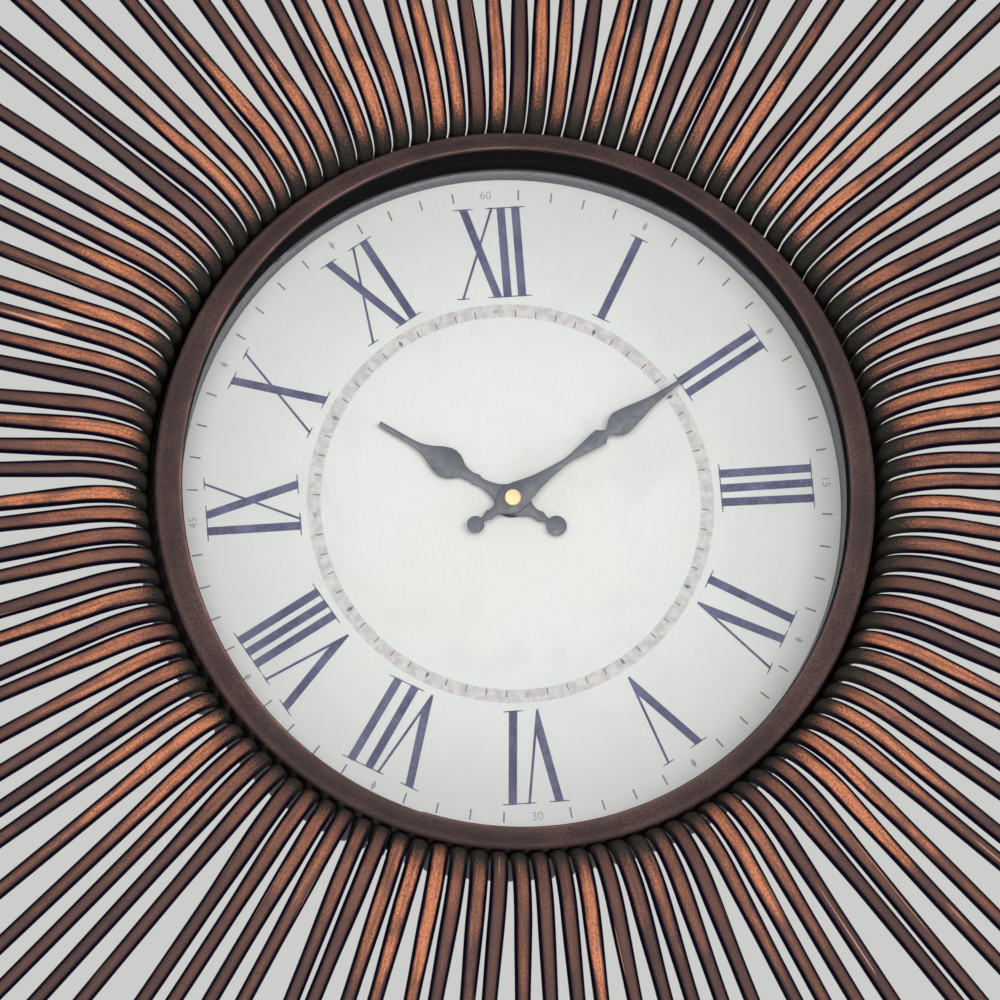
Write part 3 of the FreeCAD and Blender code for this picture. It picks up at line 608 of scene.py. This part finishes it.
SEAM = math.radians(201)
BEZEL_LIP = 155.9
BEZEL_INNER_REAR = 47.5
BEZEL_SHOULDER = 67.3
BEZEL_SHEET = 1.2
SHOULDER_ROUND = 2.6
RIDGE_ROUND = 0.62
FRAME_STEPS = 360


def bezel_wobble(angle, radius, depth):
    """The frame is a little taller than wide, gently wavy, and steps at its seam."""
    wave = (0.16 * math.sin(2 * angle + 0.4) + 0.09 * math.sin(3 * angle + 2.0)
            + 0.05 * math.sin(7 * angle))
    past = (angle - SEAM) % (2 * math.pi)
    step = 0.42 * math.exp(-past / 0.22)
    inner = smoothstep(radius, BEZEL_OUT - 1, BEZEL_LIP)
    oval = math.cos(2 * angle)
    taller = 0.25 + 1.35 * oval + inner * (1.25 * oval - 0.25)
    taller *= smoothstep(depth, BEZEL_INNER_REAR, 60)
    return radius + taller + (wave + step) * inner, depth - 0.12 * step * inner


def make_liner(paint):
    """The matt black lining of the frame's inner wall."""
    face, back, rear = BEZEL_LIP - 0.12, BEZEL_LIP + 0.5, 48.2
    profile = [(face, rear), (back, rear), (back, BEZEL_FRONT - 2.2),
               (BEZEL_LIP + 0.1, BEZEL_FRONT - 1.7), (face, BEZEL_FRONT - 2.0),
               (face, 60), (face, 54)]
    return lathe("bezel_liner", profile, paint, steps=FRAME_STEPS, wobble=bezel_wobble)


def make_bezel(paint):
    """A folded frame: outer skirt, rolled shoulder, sloping band, a fine ridge and an inner wall.

    Each point of the profile also says how much copper shows, as wear and as a painted highlight,
    and how shaded (dark, as painted shade) it is.
    """
    out, lip, front, rear = BEZEL_OUT, BEZEL_LIP, BEZEL_FRONT, BEZEL_REAR
    profile, wear_and_highlight, painted_shade = [], [], []

    def point(radius, depth, worn_and_lit=0.0, dark=0.0):
        profile.append((radius, depth))
        wear_and_highlight.append(worn_and_lit)
        painted_shade.append(dark)

    # The dark values are painted shade: slight on the skirt and shoulder, strong on the ridge's
    # inner side, full on the inner wall
    for depth in (rear, rear + 0.15, 40, 50, 57, 62):
        point(out, depth, dark=0.08)
    for i in range(9):
        turn = math.radians(90 - 76 * i / 8)
        point(out - SHOULDER_ROUND * (1 - math.sin(turn)),
              BEZEL_SHOULDER - 2.0 + SHOULDER_ROUND * math.cos(turn) * 0.92,
              0.06 * smoothstep(i, 2, 6), 0.08 * (1 - i / 8))
    band_out, band_in = out - SHOULDER_ROUND, lip + 1.9
    band_low, band_high = BEZEL_SHOULDER + 0.35, front - 0.55
    for i in range(1, 7):
        share = i / 7
        crown = 0.25 * math.sin(math.pi * share)
        point(band_out + (band_in - band_out) * share,
              band_low + (band_high - band_low) * share + crown)
    point(lip + 1.75, front - 0.5)
    point(lip + 1.45, front - 0.45, worn_and_lit=0.25)
    for i in range(7):
        turn = math.radians(90 - 150 * i / 6)
        point(lip + 0.72 + 0.68 * math.sin(turn), front - RIDGE_ROUND * (1 - math.cos(turn)),
              0.95 if 1 <= i <= 4 else 0.4, 0.0 if i < 5 else 0.6)
    point(lip, front - 1.6, 0.12, 0.9)
    inner_rear = BEZEL_INNER_REAR
    for depth in (front - 2.2, front - 6, 60, 53, inner_rear + 0.15, inner_rear):
        point(lip, depth, dark=1)
    point(lip + BEZEL_SHEET, inner_rear, dark=1)
    point(lip + BEZEL_SHEET, front - 3.2, dark=1)
    point(out - BEZEL_SHEET, BEZEL_SHOULDER - 3.0, dark=1)
    point(out - BEZEL_SHEET, rear, dark=0.6)

    # Painted highlight: the ridge's copper is strongest on the left and fades towards the right
    def wear_and_highlight_at_left(index, angle):
        return wear_and_highlight[index] * (0.6 - 0.4 * math.cos(angle - 1.75))

    values = (("wear_and_highlight", wear_and_highlight_at_left), ("painted_shade", lambda index, angle: painted_shade[index]))
    return lathe("bezel_frame", profile, paint, steps=FRAME_STEPS, wobble=bezel_wobble,
                 values=values)


def make_spacer(paint):
    """The ring between dial and glass: it widens forwards and is a little taller than wide."""
    outer, inner, inner_front = 158.6, 154.6, 155.5
    profile = [(inner, PAPER_TOP), (outer, PAPER_TOP), (outer, GLASS_REAR),
               (inner_front, GLASS_REAR)]

    def wobble(angle, radius, depth):
        if radius < outer:
            radius += 0.7 * math.cos(2 * angle) + 0.6 * math.sin(angle)
        return radius, depth

    return lathe("spacer_ring", profile, paint, steps=240, wobble=wobble)


def make_weld(paint):
    """The lumpy bead of weld that joins the legs of the rays to the rear hoop."""
    inner = radius_of("rear_hoop") - 0.3
    outer = radius_of("rear_hoop") + 1.5
    low, high = depth_of("rear_hoop", front=False), depth_of("rear_hoop")
    profile = [(inner, low + 1), (outer, low + 1.8), (outer, high - 1.8), (inner, high - 1)]

    def wobble(angle, radius, depth):
        if radius > inner:
            radius += 0.2 * math.sin(97 * angle) + 0.15 * math.sin(41 * angle + 1)
        return radius, depth

    return lathe("hoop_weld", profile, paint, steps=960, wobble=wobble)


# ---- Dial printing --------------------------------------------------------------------------

# Each numeral is its strokes, as (width, place of the top, place of the foot) in millimetres
# across the numeral. A stroke marked "v" ends in a point and has no serif at its foot.
NUMERALS = (
    (("wide", -11.2, 2.0), ("thin", 2.3, -14.5), ("wide", 6.6, 6.5), ("wide", 13.5, 13.3)),
    (("wide", 0, 0),),
    (("wide", -3.6, -3.6), ("wide", 3.3, 3.1)),
    (("wide", -7.0, -7.0), ("wide", 0, 0), ("wide", 7.4, 6.6)),
    (("wide", -7.6, -7.7), ("wide v", 2.9, 4.4), ("thin v", 18.0, 4.7)),
    (("wide v", -7.6, 1.6), ("thin v", 9.6, 1.8)),
    (("wide v", -10.8, -4.2), ("thin v", 3.2, -4.0), ("wide", 11.0, 7.2)),
    (("wide v", -15.0, -6.6), ("thin v", 0.8, -6.3), ("wide", 5.6, 2.6), ("wide", 14.5, 11.0)),
    (("wide v", -21.5, -10.0), ("thin v", -5.7, -9.8), ("wide", 2.8, 1.8), ("wide", 9.4, 8.3),
     ("wide", 16.0, 14.9)),
    (("wide", -4.6, -4.7), ("wide", 3.0, 15.0), ("thin", 18.0, -1.5)),
    (("wide", -5.2, 5.6), ("thin", 9.2, -11.6)),
    (("wide", -6.2, 6.8), ("thin", 7.8, -10.5), ("wide", 13.3, 12.2)),
)
NUMERAL_FOOT, NUMERAL_TOP = 98.3, 141.8
STROKE = {"wide": 3.9, "thin": 1.2}
SERIF_REACH = {"wide": 4.7, "thin": 3.0}
SERIF_THICK = 0.55
POINT_STARTS = 0.78

# The marks at the rim and on the ring: bars as (half width, inner end, outer end), diamonds as
# (distance out, half width, half height) and numbers as (size, distance out)
RIM_BAR, RING_BAR = (0.4, 145.6, 150.6), (0.3, 89.1, 92.3)
RIM_DIAMOND, RING_DIAMOND = (148.2, 1.15, 2.5), (90.8, 0.95, 1.9)
RIM_NUMBER, RING_NUMBER = (5.6, 148.0), (2.6, 91.4)
RING_INNER, RING_OUTER = 88.6, 94.9

# How far the films of ink stand off the paper
INK_REAR = PAPER_TOP + 0.005
INK_LIFT = 0.04
RING_LIFT = 0.02
RING_MARK_LIFT = 0.05
LAYER_STEP = 0.004


def on_dial(across, out, angle):
    """A point across and out along the line at angle clockwise from twelve."""
    return (out * math.sin(angle) + across * math.cos(angle),
            out * math.cos(angle) - across * math.sin(angle))


def numeral_shapes(strokes):
    """The shapes of one numeral, as (across, out) corners."""
    top, foot = NUMERAL_TOP, NUMERAL_FOOT
    for kind, high, low in strokes:
        width, pointed = kind[:4], kind.endswith("v")
        half = STROKE[width] / 2
        if pointed and width == "wide":
            bend = high + half + POINT_STARTS * (low - high + half)
            bend_out = top + POINT_STARTS * (foot - top)
            yield [(high - half, top), (high + half, top), (bend, bend_out),
                   (low + 0.3, foot), (low - 0.15, foot)]
        else:
            yield [(high - half, top), (high + half, top), (low + half, foot), (low - half, foot)]
        reach = SERIF_REACH[width]
        yield serif(high, top, reach, -1)
        if not pointed:
            yield serif(low, foot, reach, 1)


def serif(across, out, reach, inward):
    """A hairline foot that thins slightly towards its two ends."""
    thick = SERIF_THICK * inward
    return [(across - reach, out), (across, out - 0.35 * thick), (across + reach, out),
            (across + reach, out + 0.7 * thick), (across, out + thick),
            (across - reach, out + 0.7 * thick)]


def diamond(out, half_width, half_height):
    return [(-half_width, out), (0, out + half_height), (half_width, out), (0, out - half_height)]


def bar(half_width, low, high):
    return [(-half_width, low), (half_width, low), (half_width, high), (-half_width, high)]


def digits(text, size):
    """The outline faces of a short number, as lists of corners about its own middle."""
    curve = bpy.data.curves.new("digits", "FONT")
    curve.body, curve.size = text, size
    curve.align_x, curve.align_y = "CENTER", "CENTER"
    curve.resolution_u = 4
    thing = bpy.data.objects.new("digits", curve)
    bpy.context.scene.collection.objects.link(thing)
    bpy.context.view_layer.update()
    graph = bpy.context.evaluated_depsgraph_get()
    mesh = bpy.data.meshes.new_from_object(thing.evaluated_get(graph))
    shapes = [[tuple(mesh.vertices[v].co[:2]) for v in face.vertices] for face in mesh.polygons]
    bpy.data.objects.remove(thing)
    bpy.data.curves.remove(curve)
    bpy.data.meshes.remove(mesh)
    return shapes


def print_on_dial(name, shapes, paint, lift):
    """Ink as a film on the paper; shapes in turn lie at five heights, so none share a plane."""
    verts, faces = [], []
    for n, (corners, angle) in enumerate(shapes):
        points = [on_dial(across, out, angle) for across, out in corners]
        area = sum(a[0] * b[1] - a[1] * b[0] for a, b in zip(points, points[1:] + points[:1]))
        if area < 0:
            points.reverse()
        high = PAPER_TOP + lift + LAYER_STEP * (n % 5)
        start, count = len(verts), len(points)
        verts.extend(row(x, up, high) for x, up in points)
        verts.extend(row(x, up, INK_REAR) for x, up in points)
        faces.append(tuple(start + i for i in range(count)))
        faces.append(tuple(start + count + i for i in reversed(range(count))))
        for i in range(count):
            j = (i + 1) % count
            faces.append((start + i, start + count + i, start + count + j, start + j))
    return add_mesh(name, verts, faces, paint, smooth=False)


def make_printing():
    numeral_ink = ink_paint("numeral_ink", (0.112, 0.110, 0.196), (0.064, 0.062, 0.126), 0.2)
    mark_ink = ink_paint("mark_ink", (0.20, 0.20, 0.25), (0.14, 0.14, 0.19), 0.3)
    pale_ink = ink_paint("pale_ink", (0.34, 0.34, 0.375), (0.27, 0.27, 0.30), 0.4)
    ring_ink = ink_paint("ring_ink", (0.60, 0.562, 0.555), (0.455, 0.425, 0.43), 0.3, size=260)

    shapes = []
    for hour, strokes in enumerate(NUMERALS):
        shapes += [(shape, math.radians(30 * hour)) for shape in numeral_shapes(strokes)]
    print_on_dial("dial_numerals", shapes, numeral_ink, INK_LIFT)

    # Minutes have bars, hours diamonds and quarters small numbers, at the rim and on the ring
    marks, faint, small = [], [], []
    for minute in range(60):
        angle = math.radians(6 * minute)
        if minute % 5:
            marks.append((bar(*RIM_BAR), angle))
            small.append((bar(*RING_BAR), angle))
        elif minute % 15:
            faint.append((diamond(*RIM_DIAMOND), angle))
            small.append((diamond(*RING_DIAMOND), angle))
    for minute, text in ((0, "60"), (15, "15"), (30, "30"), (45, "45")):
        angle = math.radians(6 * minute)
        way = -1 if minute == 30 else 1
        for (size, out), target in ((RIM_NUMBER, faint), (RING_NUMBER, small)):
            for shape in digits(text, size):
                target.append(([(way * x, out + way * y) for x, y in shape], angle))
    print_on_dial("dial_minute_marks", marks, mark_ink, INK_LIFT)
    print_on_dial("dial_faint_marks", faint, pale_ink, INK_LIFT)
    print_on_dial("dial_ring_marks", small, mark_ink, RING_MARK_LIFT)
    ring_top = PAPER_TOP + RING_LIFT
    ring = [(RING_INNER, INK_REAR), (RING_OUTER, INK_REAR),
            (RING_OUTER, ring_top), (RING_INNER, ring_top)]
    lathe("dial_ring", ring, ring_ink, steps=360, smooth=False)


# ---- Hands ----------------------------------------------------------------------------------

# One side of each hand, as (half width, distance out from the hub) in millimetres
HOUR_SIDE = (
    (1.3, -22), (1.4, -18), (2.5, -15.2), (2.1, -13.4), (2.6, -10.5), (5.6, -5), (6.6, 0),
    (5.9, 4.5), (3.5, 9), (2.3, 13.5), (2.0, 17), (2.7, 19.2), (2.2, 22), (3.2, 26.5),
    (6.0, 30.5), (7.2, 34.6), (6.1, 39.5), (3.6, 44.5), (1.9, 49.5), (1.35, 55), (1.2, 70.2),
    (0.7, 71.2),
)
MINUTE_SIDE = (
    (1.2, -19.5), (1.3, -16), (2.4, -13.3), (2.0, -11.4), (2.6, -9), (5.6, -4.5), (6.8, 0),
    (6.4, 4.2), (4.9, 9), (3.3, 15.5), (2.1, 24), (1.45, 32), (2.5, 41), (3.95, 50.6),
    (3.2, 52.0), (1.65, 55.2), (4.2, 58.4), (5.7, 61.6), (5.7, 64.8), (4.4, 71.2), (3.0, 77.5),
    (2.0, 83.5), (1.3, 91), (0.9, 97), (0.4, 102),
)
HOUR_ANGLE = math.radians(304.5)
MINUTE_ANGLE = math.radians(58.5)

# The round tail of each hand and the hub, as (distance out, radius)
HOUR_TAIL = (-23.9, 4.75)
MINUTE_TAIL = (-21.1, 4.0)
HUB = (0.0, 7)
EDGE_ROLL = 0.28
THINNEST = 0.05
HAND_STEPS = 260
SIDE_STEPS = 7


def smooth_side(corners):
    """A Catmull-Rom line through the (half width, out) points of one side of a hand."""
    points = [corners[0], *corners, corners[-1]]
    found = []
    for four in zip(points, points[1:], points[2:], points[3:]):
        for i in range(SIDE_STEPS):
            t = i / SIDE_STEPS
            found.append(tuple(
                0.5 * (2 * q + (r - p) * t + (2 * p - 5 * q + 4 * r - s) * t * t
                       + (3 * q - p - 3 * r + s) * t ** 3)
                for p, q, r, s in zip(*four)))
    found.append(corners[-1])
    return found


def half_width(side, discs, out):
    """A hand's half width at a distance out, from its side and its round hub and tail."""
    half = THINNEST
    for (w0, o0), (w1, o1) in zip(side, side[1:]):
        if o0 <= out <= o1 and o1 > o0:
            half = max(half, w0 + (w1 - w0) * (out - o0) / (o1 - o0))
    for centre, radius in discs:
        if abs(out - centre) < radius:
            half = max(half, math.sqrt(radius ** 2 - (out - centre) ** 2))
    return half


def make_hand(name, node, body, side, tail, angle, paint):
    """A flat stamped hand with rolled edges, a round hub and a round tail."""
    low, high = depth_of(node, front=False), depth_of(node)
    side = smooth_side(side)
    tail_out, tail_radius = tail
    lowest = tail_out - tail_radius
    highest = side[-1][1]
    rings = []
    for i in range(HAND_STEPS + 1):
        out = lowest + (highest - lowest) * (0.5 - 0.5 * math.cos(math.pi * i / HAND_STEPS))
        half = half_width(side, (HUB, tail), out)
        roll = min(EDGE_ROLL, half * 0.45)
        section = ((-half, low), (-half, high - EDGE_ROLL), (-half + roll * 0.3, high - 0.1),
                   (-half + roll, high), (0, high), (half - roll, high),
                   (half - roll * 0.3, high - 0.1), (half, high - EDGE_ROLL), (half, low))
        rings.append([row(*on_dial(across, out, angle), depth) for across, depth in section])
    verts, faces = skin(rings)
    piece = add_mesh(name, verts, faces, paint, body)
    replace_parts(piece, node)


def make_hands():
    paint = metal_paint("hand_finish", (0.128, 0.128, 0.150), (0.086, 0.084, 0.108), 0.5, 500,
                        metal=0.1)
    make_hand("hour_hand_shape", "hour_hand", "hour_train",
              HOUR_SIDE, HOUR_TAIL, HOUR_ANGLE, paint)
    make_hand("minute_hand_shape", "minute_hand", "minute_train",
              MINUTE_SIDE, MINUTE_TAIL, MINUTE_ANGLE, paint)


def make_cap():
    """The domed nut over the hands."""
    paint = metal_paint("cap_finish", (0.88, 0.64, 0.34), (0.74, 0.52, 0.27), 0.5, 900,
                        metal=0.15)
    low, high, out = depth_of("cap_nut", front=False), depth_of("cap_nut"), radius_of("cap_nut")
    profile = [(0.05, low), (out - 0.2, low), (out, low + 0.2), (out, high - 0.45),
               (out - 0.12, high - 0.2), (out - 0.4, high - 0.05), (out - 0.7, high),
               (0.3, high), (0.1, high), (0.02, high)]
    cap = lathe("cap_dome", profile, paint, "minute_train", steps=64)
    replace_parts(cap, "cap_nut")


# ---- The parts that keep their CAD shape ----------------------------------------------------


def finish_fixed_parts():
    give(gasket_paint(), "glass_gasket")
    give(paper_paint(), "dial_paper")
    give(glass_paint(), "glass")
    give(metal_paint("drum_paint", (0.045, 0.032, 0.028), (0.024, 0.018, 0.018), 0.75, 500,
                     metal=0.0, depth=0.05, Specular_IOR_Level=0.05),
         "drum")
    # Painted shade: the hoops and their weld are near black, so they read as the dark gaps behind
    # the rays
    hoop = metal_paint("hoop_painted_shade", (0.012, 0.009, 0.010), (0.007, 0.006, 0.007), 0.8, 500,
                       metal=0.0, depth=0.05, Specular_IOR_Level=0.03)
    give(hoop, "rear_hoop", "front_hoop")
    make_weld(hoop)
    give(hardboard_paint(), "rear_panel", "dial_backing")
    give(metal_paint("zinc_plate", (0.60, 0.61, 0.60), (0.36, 0.36, 0.35), 0.36, 420),
         "dial_clips", "panel_brackets", "panel_screws", "hanger_plate", "positive_contact",
         "negative_contact", "stator", "quartz_crystal")
    give(metal_paint("rivet_metal", (0.74, 0.74, 0.75), (0.5, 0.5, 0.5), 0.3, 500),
         "hanger_rivets")
    give(metal_paint("brass_finish", (0.72, 0.53, 0.25), (0.50, 0.34, 0.15), 0.28, 600),
         "threaded_bushing")
    give(metal_paint("brass_tarnished", (0.115, 0.105, 0.100), (0.075, 0.070, 0.072), 0.5, 600,
                     metal=0.4),
         "brass_washer", "hex_nut")
    give(plastic_paint("rubber_black", (0.018, 0.018, 0.018), 0.75, 900, 0.05),
         "wall_bumpers", "rubber_washer")
    give(plastic_paint("movement_black", (0.016, 0.016, 0.018), 0.48, 1600, 0.04),
         "movement_rear_case", "movement_front_cover")
    give(plastic_paint("gear_white", (0.74, 0.73, 0.69), 0.4, 2500, 0.01),
         "hour_wheel", "centre_wheel", "motion_wheel", "third_wheel", "rotor", "setting_pinion")
    give(plastic_paint("knob_red", (0.30, 0.035, 0.03), 0.42, 2000, 0.02), "setting_knob")
    give(metal_paint("coil_wire", (0.62, 0.26, 0.13), (0.40, 0.14, 0.07), 0.35, 900,
                     stretch=(6, 1, 0.3), depth=0.1),
         "coil")
    give(plastic_paint("board_green", (0.03, 0.13, 0.06), 0.35, 800, 0.02), "circuit_board")
    give(battery_paint(), "battery")


# ---- Room, light and camera -----------------------------------------------------------------

FLOOR_DROP = 1.1
FLOOR_HALF = 4.0
FRONT_GREY = (0.40, 0.40, 0.41, 1)
REAR_GREY = (0.610, 0.615, 0.603, 1)

# Each lamp's name, place in metres, width in metres and power in watts
LAMPS = (
    ("key", (-0.42, -3.2, -0.12), 1.4, 56),
    ("fill", (0.84, -3.2, -0.25), 1.4, 44),
    ("rear", (0.9, 2.2, 1.6), 1.6, 26),
)

# PIXEL_MM is the width of a pixel at the dial, in an image IMAGE_PIXELS wide
CAMERA_SIDE = Vector((-0.0900, -0.9744, -0.2063)).normalized()
CAMERA_DISTANCE = 2.4
CAMERA_ROLL = math.radians(4.8)
CAMERA_SHIFT = (-0.0112, 0.0021)
PIXEL_MM = 0.4651
IMAGE_PIXELS = 1000
SENSOR_MM = 36.0


def make_floor():
    paint = Paint("floor_paper", rough=0.8)
    paint.set("Base Color", paint.mix(paint.noise(3, 3), (0.66, 0.66, 0.65), (0.72, 0.72, 0.71)))
    mesh = bpy.data.meshes.new("floor")
    half, low = FLOOR_HALF, CAD_LOW.z - FLOOR_DROP
    corners = [(-half, -half, low), (half, -half, low), (half, half, low), (-half, half, low)]
    mesh.from_pydata(corners, [], [(0, 1, 2, 3)])
    floor = bpy.data.objects.new("floor", mesh)
    mesh.materials.append(paint.material)
    bpy.context.scene.collection.objects.link(floor)


def make_world():
    """A plain grey surround, a little darker in front of the clock than behind it."""
    world = bpy.data.worlds.new("studio")
    world.use_nodes = True
    tree = world.node_tree
    background = next(n for n in tree.nodes if n.type == "BACKGROUND")
    direction = tree.nodes.new("ShaderNodeTexCoord").outputs["Generated"]
    split = tree.nodes.new("ShaderNodeSeparateXYZ")
    share = tree.nodes.new("ShaderNodeMapRange")
    share.inputs["From Min"].default_value = -0.3
    share.inputs["From Max"].default_value = 0.3
    mix = tree.nodes.new("ShaderNodeMix")
    mix.data_type = "RGBA"
    factor, front, rear = [i for i in mix.inputs if i.enabled]
    front.default_value, rear.default_value = FRONT_GREY, REAR_GREY
    tree.links.new(direction, split.inputs[0])
    tree.links.new(split.outputs["Y"], share.inputs["Value"])
    tree.links.new(share.outputs[0], factor)
    tree.links.new(next(o for o in mix.outputs if o.enabled), background.inputs["Color"])
    bpy.context.scene.world = world


def add_light(name, place, size, power):
    """A round lamp that shines at the clock's middle."""
    data = bpy.data.lights.new(name, "AREA")
    data.shape, data.size, data.energy = "DISK", size, power
    lamp = bpy.data.objects.new(name, data)
    bpy.context.scene.collection.objects.link(lamp)
    lamp.location = place
    lamp.rotation_euler = Vector(place).to_track_quat("Z", "Y").to_euler()


def make_camera():
    data = bpy.data.cameras.new("camera")
    data.sensor_width = SENSOR_MM
    data.lens = SENSOR_MM * CAMERA_DISTANCE / (PIXEL_MM * MM * IMAGE_PIXELS)
    data.shift_x, data.shift_y = CAMERA_SHIFT
    camera = bpy.data.objects.new("camera", data)
    bpy.context.scene.collection.objects.link(camera)
    right = Vector((0, 0, 1)).cross(CAMERA_SIDE).normalized()
    above = CAMERA_SIDE.cross(right)
    turned_right = right * math.cos(CAMERA_ROLL) - above * math.sin(CAMERA_ROLL)
    turned_above = right * math.sin(CAMERA_ROLL) + above * math.cos(CAMERA_ROLL)
    turn = Matrix((turned_right, turned_above, CAMERA_SIDE)).transposed()
    place = row(0, 0, PAPER_TOP) + CAMERA_SIDE * CAMERA_DISTANCE
    camera.matrix_world = Matrix.Translation(place) @ turn.to_4x4()
    bpy.context.scene.camera = camera


finish_fixed_parts()
make_printing()
bezel = make_bezel(bezel_paint())
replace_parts(bezel, "bezel")
make_liner(liner_paint())
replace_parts(make_spacer(board_paint()), "dial_spacer")
make_rays(ray_paint())
make_hands()
make_cap()
bpy.context.scene.view_settings.view_transform = "Standard"
make_floor()
make_world()
for name, place, size, power in LAMPS:
    add_light(name, place, size, power)
make_camera()
